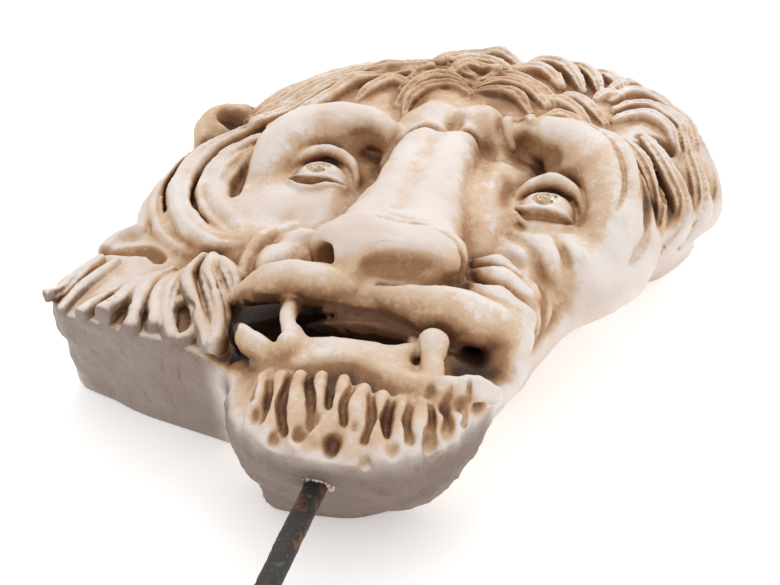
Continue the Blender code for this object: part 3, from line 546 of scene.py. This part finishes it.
def skin(clay):
    """The surface of the clay as points and four-sided faces, one point to a cell."""
    solid = clay.depth < 0
    size = np.array(solid.shape)
    # Where two bits of stone touch along an edge alone, the gap between them is filled.
    for a, b in ((0, 1), (0, 2), (1, 2)) * 4:
        square = {}
        for i in (0, 1):
            for j in (0, 1):
                part = [slice(None)] * 3
                part[a], part[b] = slice(i, size[a] - 1 + i), slice(j, size[b] - 1 + j)
                square[i, j] = tuple(part)
        crossed = solid[square[0, 0]] == solid[square[1, 1]]
        crossed &= solid[square[0, 1]] == solid[square[1, 0]]
        crossed &= solid[square[0, 0]] != solid[square[0, 1]]
        for part in square.values():
            spots = tuple((np.argwhere(crossed & ~solid[part]) + [cut.start or 0 for cut in part]).T)
            solid[spots] = True
            clay.depth[spots] = -0.02
    corners = [(i, j, k) for i in (0, 1) for j in (0, 1) for k in (0, 1)]
    filled = np.zeros(size - 1, np.int8)
    for i, j, k in corners:
        filled += solid[i:size[0] - 1 + i, j:size[1] - 1 + j, k:size[2] - 1 + k]
    cells = np.argwhere((filled > 0) & (filled < 8))
    index = np.full(filled.shape, -1, np.int32)
    index[tuple(cells.T)] = np.arange(len(cells))
    value = {c: clay.depth[cells[:, 0] + c[0], cells[:, 1] + c[1], cells[:, 2] + c[2]] for c in corners}
    total, count = np.zeros((len(cells), 3)), np.zeros(len(cells))
    for corner in corners:
        for axis in range(3):
            if corner[axis]:
                continue
            end = tuple(1 if i == axis else corner[i] for i in range(3))
            a, b = value[corner], value[end]
            crossing = (a < 0) != (b < 0)
            place = np.tile(np.array(corner, float), (crossing.sum(), 1))
            place[:, axis] = a[crossing] / (a[crossing] - b[crossing])
            total[crossing] += place
            count[crossing] += 1
    points = (cells + total / count[:, None]) * clay.step + clay.low
    faces = []
    for axis in range(3):
        u, v = (axis + 1) % 3, (axis + 2) % 3
        here = [slice(None)] * 3
        there = [slice(None)] * 3
        here[axis], there[axis] = slice(0, -1), slice(1, None)
        edge = np.argwhere(solid[tuple(here)] != solid[tuple(there)])
        inner = (edge[:, (u, v)] > 0) & (edge[:, (u, v)] < size[[u, v]] - 1)
        edge = edge[inner.all(axis=1)]
        ring = []
        for du, dv in ((-1, -1), (0, -1), (0, 0), (-1, 0)):
            cell = edge.copy()
            cell[:, u] += du
            cell[:, v] += dv
            ring.append(index[tuple(cell.T)])
        quad = np.stack(ring, 1)
        leaving = ~solid[tuple(edge.T)]
        quad[leaving] = quad[leaving][:, ::-1]
        faces.append(quad)
    faces = np.vstack(faces)
    # Crumbs that the cuts left loose are dropped: what hangs together gets one number.
    shell = np.arange(len(points))
    ends = np.vstack([faces[:, (i, (i + 1) % 4)] for i in range(4)])
    while True:
        least = shell[ends].min(axis=1)
        joined = shell.copy()
        for side in (0, 1):
            np.minimum.at(joined, shell[ends[:, side]], least)
        joined = joined[joined]
        if np.array_equal(joined, shell):
            break
        shell = joined
    faces = faces[shell[faces[:, 0]] == np.bincount(shell[faces[:, 0]]).argmax()]
    used = np.unique(faces)
    return points[used], np.searchsorted(used, faces)


points, faces = skin(clay)
rough_mesh = bpy.data.meshes.new("mask_rough")
rough_mesh.from_pydata((points * MM).tolist(), [], faces.tolist())
mask_rough = bpy.data.objects.new("mask_rough", rough_mesh)
scene.collection.objects.link(mask_rough)
thinner = mask_rough.modifiers.new("thinner", "DECIMATE")
thinner.ratio = min(1.0, MASK_FACES / (2 * len(faces)))
lion_mask = bpy.data.objects.new("marble_mask", bpy.data.meshes.new_from_object(
    mask_rough.evaluated_get(bpy.context.evaluated_depsgraph_get())))
scene.collection.objects.link(lion_mask)
bpy.data.objects.remove(mask_rough)
lion_mask.data.shade_smooth()


def linear(hex_colour):
    """An sRGB hex colour as the linear values that shaders take."""
    parts = [int(hex_colour[i:i + 2], 16) / 255 for i in (1, 3, 5)]
    return tuple(c / 12.92 if c <= 0.04045 else ((c + 0.055) / 1.055) ** 2.4 for c in parts) + (1.0,)


def add(tree, kind, settings=None, out=0, **links):
    """One output of a new node with its settings, its inputs linked or set by name or number."""
    node = tree.nodes.new(kind)
    for name, value in (settings or {}).items():
        setattr(node, name, value)
    for name, value in links.items():
        key = int(name[1:]) if name[0] == "i" and name[1:].isdigit() else name.replace("_", " ")
        if isinstance(value, bpy.types.NodeSocket):
            tree.links.new(value, node.inputs[key])
        else:
            node.inputs[key].default_value = value
    return None if out is None else node.outputs[out]


def sample(field, low, step, places):
    """A field on a regular grid read at any places."""
    grid = (places - low) / step
    cell = np.clip(grid.astype(int), 0, np.array(field.shape) - 2)
    part = np.clip(grid - cell, 0, 1)
    value = 0
    for i in (0, 1):
        for j in (0, 1):
            for k in (0, 1):
                share = np.abs(1 - i - part[:, 0]) * np.abs(1 - j - part[:, 1]) * np.abs(1 - k - part[:, 2])
                value = value + share * field[cell[:, 0] + i, cell[:, 1] + j, cell[:, 2] + k]
    return value


# How closed in each point is by its neighbours, how far it lies below the crests
# 4 mm and 14 mm around it, and how far it belongs to the broken and rough sides:
# the broken left side, and the underside of the chin, which is painted darker as shade.
count = len(lion_mask.data.vertices)
places, normals = np.empty(count * 3), np.empty(count * 3)
lion_mask.data.vertices.foreach_get("co", places)
lion_mask.data.vertices.foreach_get("normal", normals)
places, normals = places.reshape(-1, 3) / MM, normals.reshape(-1, 3)
hug = {reach: sample(clay.depth, clay.low, clay.step, places + normals * reach) for reach in (-1, 1, 3, 7)}
slope = np.clip((hug[1] - hug[-1]) / 2, 0.4, 1.3)
edge = sample(np.maximum(sides, under).astype(np.float32), clay.low, clay.step, places)
within = ease((-1 - edge) / 10)
clay.survey(0)
sunk = {}
for reach in (4, 14):
    crest = clay.surface
    for _ in range(int(reach / clay.step)):
        beside = [np.roll(crest, shift, axis) for axis in (0, 1) for shift in (1, -1)]
        crest = np.maximum.reduce([crest, *beside])
    for _ in range(int(reach / clay.step)):
        beside = [np.roll(crest, shift, axis) for axis in (0, 1) for shift in (1, -1)]
        crest = (sum(beside) + crest) / 5
    flat = places * (1, 1, 0) + (0, 0, clay.low[2])
    above = sample(np.stack([crest, crest], 2), clay.low, clay.step, flat)
    sunk[reach] = (above - places[:, 2]) * within
(x, y, z), facing = places.T, normals[:, 2]
left_side = ease((-60 - x) / 15) * ease((-60 - y) / 20) * ease((0.75 - facing) / 0.3)
# Painted shade: the downward-facing underside of the chin is given the grey-brown of the broken stone.
under_chin_shade = ease((0.6 - facing) / 0.5) * ease((74 - z) / 23) * ease((-112 - y) / 18)
broken_and_shaded = np.maximum(0.85 * left_side, under_chin_shade)
# Painted shade: the dark inside of the mouth, the pit at its corner, and the
# band under the upper lip over the inner lip and teeth.
mouth_shade = (ease((24 - x) / 6) * ease((x + 64) / 6) * ease((y + 121) / 5) * ease((-79 - y) / 6)
         * ease((78.5 - z) / 2))
pit_shade = (ease((72 - x) / 5) * ease((x - 26) / 20) * ease((y + 124) / 8) * ease((-96 - y) / 8)
       * ease((72 - z) / 10))
under_lip_shade = (ease((26 - x) / 6) * ease((x + 56) / 6) * ease((y + 108) / 4) * ease((-88 - y) / 3)
       * ease((85 - z) / 3))
# Wider patches of tan, each with its place across and up the face, half-width,
# half-height and strength: painted shade under the upper lip, in the inner corners of
# the eyes and on the right brow, and tan over the forehead, the left ear, beside the
# left cheek and over the chin.
TAN_AND_SHADE_PATCHES = [(-4, 98, 56, 34, 0.6), (0, -146, 60, 24, 0.32), (-32, 6, 14, 30, 0.2), (34, 16, 12, 36, 0.2),
          (-128, 82, 22, 22, 0.5), (-78, -48, 22, 20, 0.3), (0, -98, 60, 8, 0.25), (78, 30, 22, 34, 0.2)]
patina_and_shade = sum(share * np.exp(-((x - across) / wide) ** 2 - ((y - up) / tall) ** 2)
             for across, up, wide, tall, share in TAN_AND_SHADE_PATCHES)
# The band under the upper lip joins the patches as painted shade.
patina_and_shade = patina_and_shade * ease((z - 48) / 16) + 0.8 * under_lip_shade
# The mouth and its corner pit count as the deepest hollow, painted near black as shade.
sunk[14] = np.maximum(sunk[14], 30 * np.maximum(mouth_shade, 0.8 * pit_shade) * ease((-3 - edge) / 4))
for name, values in (("crevice", 1 - hug[3] / 3 / slope), ("crease", 1 - hug[7] / 7 / slope),
                     ("groove", sunk[4] / 8), ("hollow", sunk[14] / 30), ("patina_and_shade", patina_and_shade),
                     ("broken_and_shaded", broken_and_shaded)):
    reading = lion_mask.data.attributes.new(name, "FLOAT", "POINT")
    reading.data.foreach_set("value", np.clip(values, 0, 1).astype(np.float32))

# The unevenness of hand work and weather: the size of each waviness and its
# depth in mm on worked and on broken stone.
random = np.random.default_rng(12)
shift = np.zeros(count)
for size, worked, rough in ((11, 0.55, 0.9), (5, 0.3, 0.7), (2.4, 0.17, 0.45), (1.4, 0.08, 0.25)):
    lattice = random.normal(0, 1, [int(span / size) + 3 for span in (330, 410, 140)])
    shift += sample(lattice, clay.low, size, places) * (worked + (rough - worked) * broken_and_shaded)
shift *= ease((places[:, 2] - 0.5) / 6)
lion_mask.data.vertices.foreach_set("co", ((places + normals * shift[:, None]) * MM).ravel())

# Aged marble: ivory crystals with a soft polish on what stands out, tan to
# orange-brown patina in the hollows deepened by painted shade, near black painted as
# shade in the mouth and the deepest drillings, greyer and pitted where it broke, and
# that grey-brown painted as shade under the chin.
marble = bpy.data.materials.new("aged_marble")
marble.use_nodes = True
tree = marble.node_tree
shader = tree.nodes["Principled BSDF"]
shader.inputs["IOR"].default_value = 1.49
shader.inputs["Subsurface Weight"].default_value = 0.06
shader.inputs["Subsurface Scale"].default_value = 0.004
shader.inputs["Specular IOR Level"].default_value = 0.35
where = add(tree, "ShaderNodeTexCoord", out=3)
crevice, crease, groove, hollow, patina_and_shade, broken_and_shaded_reading = (
    add(tree, "ShaderNodeAttribute", {"attribute_name": name}, out=2)
    for name in ("crevice", "crease", "groove", "hollow", "patina_and_shade", "broken_and_shaded"))
# Clouds of 55 mm, patches of 14 mm, brushed wear of 5 mm, crystals of 1.8 mm and pits of 1.5 mm.
clouds, patches, wear, fine, pits = (
    add(tree, "ShaderNodeTexNoise", Vector=where, Scale=1 / (size * MM), Detail=detail, Roughness=0.62)
    for size, detail in ((55, 3.0), (14, 5.0), (5, 4.0), (1.8, 3.0), (1.5, 2.0)))
tint = add(tree, "ShaderNodeMath", {"operation": "MULTIPLY_ADD"}, i0=patches, i1=0.7, i2=-0.35)
# Closed-in and sunk points darken: the patina that gathers in the hollows and painted shade together.
for reading, weight in ((crevice, 0.25), (crease, 0.35), (groove, 0.5), (hollow, 0.43), (patina_and_shade, 1.0)):
    tint = add(tree, "ShaderNodeMath", {"operation": "MULTIPLY_ADD"}, i0=reading, i1=weight, i2=tint)
tint = add(tree, "ShaderNodeMath", {"operation": "MULTIPLY_ADD"}, i0=wear, i1=0.3, i2=tint)
cloudy = add(tree, "ShaderNodeMapRange", {"interpolation_type": "SMOOTHSTEP"}, Value=clouds, From_Min=0.35,
             From_Max=0.65)
colour = add(tree, "ShaderNodeMix", {"data_type": "RGBA"}, out=2, Factor=cloudy, i6=linear("#D6CDC6"),
             i7=linear("#CBBBB0"))
# Chalky wear stands lighter than the darker tint around it.
veil = add(tree, "ShaderNodeMapRange", {"interpolation_type": "SMOOTHSTEP"}, Value=wear, From_Min=0.5,
           From_Max=0.62, To_Max=-0.16)
tint = add(tree, "ShaderNodeMath", {"operation": "ADD"}, i0=tint, i1=veil)
# From ivory through tan and brown, patina and painted shade together, to the near
# black painted as shade in the deepest drillings and the mouth.
for reading, low, high, tone in ((tint, 0.22, 0.55, "#C6A98C"), (tint, 0.5, 0.9, "#9E7551"),
                                 (tint, 0.85, 1.35, "#603F2A"), (hollow, 0.72, 0.97, "#2C1B10")):
    share = add(tree, "ShaderNodeMapRange", {"interpolation_type": "SMOOTHSTEP"}, Value=reading, From_Min=low,
                From_Max=high)
    colour = add(tree, "ShaderNodeMix", {"data_type": "RGBA"}, out=2, Factor=share, i6=colour, i7=linear(tone))
# Grey-brown of the bare broken stone, also laid on the underside of the chin as painted shade.
bare_stone_and_shade = add(tree, "ShaderNodeMix", {"data_type": "RGBA"}, out=2, Factor=patches, i6=linear("#7A6455"),
           i7=linear("#523F32"))
share = add(tree, "ShaderNodeMath", {"operation": "MULTIPLY"}, i0=broken_and_shaded_reading, i1=0.85)
colour = add(tree, "ShaderNodeMix", {"data_type": "RGBA"}, out=2, Factor=share, i6=colour, i7=bare_stone_and_shade)
specks = add(tree, "ShaderNodeMapRange", {"interpolation_type": "SMOOTHSTEP"}, Value=pits, From_Min=0.62,
             From_Max=0.7)
share = add(tree, "ShaderNodeMath", {"operation": "MULTIPLY_ADD"}, i0=broken_and_shaded_reading, i1=0.6, i2=0.02)
share = add(tree, "ShaderNodeMath", {"operation": "MULTIPLY"}, i0=share, i1=specks)
colour = add(tree, "ShaderNodeMix", {"data_type": "RGBA"}, out=2, Factor=share, i6=colour, i7=linear("#6E5C50"))
tree.links.new(colour, shader.inputs["Base Color"])
tree.links.new(add(tree, "ShaderNodeMapRange", Value=fine, To_Min=0.42, To_Max=0.68),
               shader.inputs["Roughness"])
tooth = add(tree, "ShaderNodeMath", {"operation": "MULTIPLY_ADD"}, i0=broken_and_shaded_reading, i1=1.6, i2=0.5)
relief = add(tree, "ShaderNodeMath", {"operation": "MULTIPLY"}, i0=fine, i1=tooth)
relief = add(tree, "ShaderNodeMath", {"operation": "MULTIPLY_ADD"}, i0=specks, i1=-0.08, i2=relief)
tree.links.new(add(tree, "ShaderNodeBump", Strength=0.8, Distance=0.8 * MM, Height=relief),
               shader.inputs["Normal"])

lion_mask.data.materials.clear()
lion_mask.data.materials.append(marble)
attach(lion_mask, "root")
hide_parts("lion_mask")


# The rod.
# A wrought iron bar of 10 mm that held the mask, set in a drilled hole under the
# chin. Rust has swollen its skin, and grains of old mortar ring the hole.
BAR_SIDES, BAR_RINGS = 56, 220
RUST_DEPTH = 0.9        # from the deepest pock to the highest scale, mm
GRAINS, GRAIN_RADIUS, GRAIN_RING = 110, 0.9, 1.8   # how many, their size, and how far out they lie, mm

# Wrought iron left rough by rust: dull, dark and scaly, with little of the metal's shine.
iron = bpy.data.materials.new("rusted_iron")
iron.use_nodes = True
tree = iron.node_tree
shader = tree.nodes["Principled BSDF"]
shader.inputs["Metallic"].default_value = 0.25
where = add(tree, "ShaderNodeTexCoord", out=3)
# Blooms of rust of 9 mm, green stains of 6 mm, scale of 1.6 mm.
bloom, tint, scale = (add(tree, "ShaderNodeTexNoise", Vector=where, Scale=1 / (size * MM), Detail=4.0,
                           Roughness=0.65)
                       for size in (9, 6, 1.6))
colour = add(tree, "ShaderNodeMix", {"data_type": "RGBA"}, out=2, Factor=scale, i6=linear("#1E1B19"),
             i7=linear("#453E38"))
for reading, low, high, tone in ((bloom, 0.54, 0.64, "#6B4430"), (tint, 0.6, 0.68, "#4E5F52"),
    (scale, 0.64, 0.7, "#8D877C")):
    share = add(tree, "ShaderNodeMapRange", {"interpolation_type": "SMOOTHSTEP"}, Value=reading, From_Min=low,
                From_Max=high)
    colour = add(tree, "ShaderNodeMix", {"data_type": "RGBA"}, out=2, Factor=share, i6=colour, i7=linear(tone))
tree.links.new(colour, shader.inputs["Base Color"])
tree.links.new(add(tree, "ShaderNodeMapRange", Value=scale, To_Min=0.55, To_Max=0.9),
               shader.inputs["Roughness"])
tree.links.new(add(tree, "ShaderNodeBump", Strength=0.7, Distance=0.4 * MM, Height=scale),
               shader.inputs["Normal"])


def grow(name, tree, values):
    """A plain mesh object made by a node tree, its inputs set by their names."""
    seed = bpy.data.objects.new(name, bpy.data.meshes.new(name))
    scene.collection.objects.link(seed)
    maker = seed.modifiers.new("maker", "NODES")
    maker.node_group = tree
    for item in tree.interface.items_tree:
        if item.in_out == "INPUT":
            maker[item.identifier] = values[item.name]
    mesh = bpy.data.meshes.new_from_object(seed.evaluated_get(bpy.context.evaluated_depsgraph_get()))
    bpy.data.objects.remove(seed)
    grown = bpy.data.objects.new(name, mesh)
    scene.collection.objects.link(grown)
    return grown


# The bar: a long cylinder, pushed in and out along its normals in pocks of 2.6 mm and
# swellings of 14 mm.
bar = bpy.data.node_groups.new("rusted_bar", "GeometryNodeTree")
for name in ("Radius", "Length"):
    bar.interface.new_socket(name, in_out="INPUT", socket_type="NodeSocketFloat")
bar.interface.new_socket("Geometry", in_out="OUTPUT", socket_type="NodeSocketGeometry")
radius, length = (add(bar, "NodeGroupInput", out=index) for index in (0, 1))
shape = add(bar, "GeometryNodeMeshCylinder", Vertices=BAR_SIDES, Side_Segments=BAR_RINGS, Radius=radius,
            Depth=length)
pocks = add(bar, "ShaderNodeTexNoise", Scale=1 / (2.6 * MM), Detail=4.0, Roughness=0.7)
swelling = add(bar, "ShaderNodeTexNoise", Scale=1 / (14 * MM), Detail=2.0)
push = add(bar, "ShaderNodeMath", {"operation": "ADD"}, i0=pocks, i1=swelling)
push = add(bar, "ShaderNodeMath", {"operation": "MULTIPLY_ADD"}, i0=push, i1=RUST_DEPTH * MM,
           i2=-RUST_DEPTH * MM)
push = add(bar, "ShaderNodeVectorMath", {"operation": "SCALE"}, i0=add(bar, "GeometryNodeInputNormal"), i3=push)
shape = add(bar, "GeometryNodeSetPosition", Geometry=shape, Offset=push)
shape = add(bar, "GeometryNodeTransform", Geometry=shape, Rotation=(math.pi / 2, 0, 0),
            Translation=(rod_x * MM, (rod_low[1] + rod_high[1]) / 2 * MM, rod_z * MM))
shape = add(bar, "GeometryNodeSetMaterial", Geometry=add(bar, "GeometryNodeRealizeInstances", Geometry=shape),
            Material=iron)
add(bar, "NodeGroupOutput", i0=shape, out=None)
rod = grow("rusted_rod", bar, {"Radius": rod_radius * MM, "Length": (rod_high[1] - rod_low[1]) * MM})
rod.data.shade_smooth()
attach(rod, "root")
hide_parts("rod")

# The mortar: grains strewn round the mouth of the hole, in the slope of the chin.
mortar = bpy.data.node_groups.new("mortar_grains", "GeometryNodeTree")
for name in ("Ring", "Grain"):
    mortar.interface.new_socket(name, in_out="INPUT", socket_type="NodeSocketFloat")
mortar.interface.new_socket("Geometry", in_out="OUTPUT", socket_type="NodeSocketGeometry")
ring, grain = (add(mortar, "NodeGroupInput", out=index) for index in (0, 1))
circle = add(mortar, "GeometryNodeCurvePrimitiveCircle", Radius=ring)
spots = add(mortar, "GeometryNodeCurveToPoints", {"mode": "COUNT"}, Curve=circle, Count=GRAINS)
spots = add(mortar, "GeometryNodeSetPosition", Geometry=spots, Offset=add(
    mortar, "FunctionNodeRandomValue", {"data_type": "FLOAT_VECTOR"}, Min=(-1.6 * MM, -1.6 * MM, -0.5 * MM),
    Max=(1.6 * MM, 1.6 * MM, 0.3 * MM), Seed=4))
grains = add(mortar, "GeometryNodeInstanceOnPoints", Points=spots,
             Instance=add(mortar, "GeometryNodeMeshIcoSphere", Radius=grain, Subdivisions=2),
             Rotation=add(mortar, "FunctionNodeRandomValue", {"data_type": "FLOAT_VECTOR"},
                          Max=(6.3, 6.3, 6.3), Seed=5),
             Scale=add(mortar, "FunctionNodeRandomValue", {"data_type": "FLOAT_VECTOR"}, Min=(0.4, 0.4, 0.3),
                       Max=(1.3, 1.3, 0.9), Seed=6))
lean = math.atan2(1, CHIN_LEAN)
grains = add(mortar, "GeometryNodeTransform", Geometry=grains, Rotation=(math.pi - lean, 0, 0),
             Translation=(rod_x * MM, -(CHIN_FOOT + CHIN_LEAN * rod_z) * MM, rod_z * MM))
grains = add(mortar, "GeometryNodeSetMaterial", Geometry=add(mortar, "GeometryNodeRealizeInstances",
    Geometry=grains),
             Material=marble)
add(mortar, "NodeGroupOutput", i0=grains, out=None)
crumbs = grow("mortar_grains", mortar, {"Ring": (rod_radius + GRAIN_RING) * MM, "Grain": GRAIN_RADIUS * MM})
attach(crumbs, "root")


# The floor, the lights and the camera.
# A pale translucent sheet lit faintly from below, with a soft light high behind the
# mask and a weaker one on the right, as small finds are photographed.
REACH = 3               # half the width of the sheet, m
floor_mesh = bpy.data.meshes.new("floor")
floor_mesh.from_pydata([(-REACH, -REACH, 0), (REACH, -REACH, 0), (REACH, REACH, 0), (-REACH, REACH, 0)], [],
                       [(0, 1, 2, 3)])
floor = bpy.data.objects.new("floor", floor_mesh)
scene.collection.objects.link(floor)
paper = bpy.data.materials.new("paper")
paper.use_nodes = True
glow = paper.node_tree.nodes["Principled BSDF"].inputs
glow["Base Color"].default_value = linear("#F4F4F4")
glow["Emission Color"].default_value = linear("#FFFCFA")
glow["Emission Strength"].default_value = 0.3
floor.data.materials.append(paper)

sky = bpy.data.worlds.new("studio")
sky.use_nodes = True
sky.node_tree.nodes["Background"].inputs["Color"].default_value = (1, 1, 1, 1)
sky.node_tree.nodes["Background"].inputs["Strength"].default_value = 1.05
scene.world = sky

for name, place, size, power in (("key", (-0.1, 0.95, 1.1), 1.0, 8), ("fill", (1.1, -0.3, 0.7), 0.9, 1.5)):
    light = bpy.data.lights.new(name, "AREA")
    light.size, light.energy = size, power
    lamp = bpy.data.objects.new(name, light)
    lamp.location = place
    lamp.rotation_euler = (Vector((0, 0, 0.05)) - Vector(place)).to_track_quat("-Z", "Y").to_euler()
    scene.collection.objects.link(lamp)

CAMERA_AROUND, CAMERA_ABOVE = math.radians(15), math.radians(32)
CAMERA_PLACE = Vector((0.241, -0.961, 0.653))
CAMERA_LENS, SENSOR_WIDTH = 112.0, 36.0
back = Vector((math.sin(CAMERA_AROUND) * math.cos(CAMERA_ABOVE),
               -math.cos(CAMERA_AROUND) * math.cos(CAMERA_ABOVE), math.sin(CAMERA_ABOVE)))
camera = bpy.data.objects.new("camera", bpy.data.cameras.new("camera"))
camera.data.sensor_width = SENSOR_WIDTH
camera.data.lens = CAMERA_LENS
camera.location = CAMERA_PLACE
camera.rotation_mode = "QUATERNION"
camera.rotation_quaternion = (-back).to_track_quat("-Z", "Y")
scene.collection.objects.link(camera)
scene.camera = camera
scene.view_settings.view_transform = "Standard"
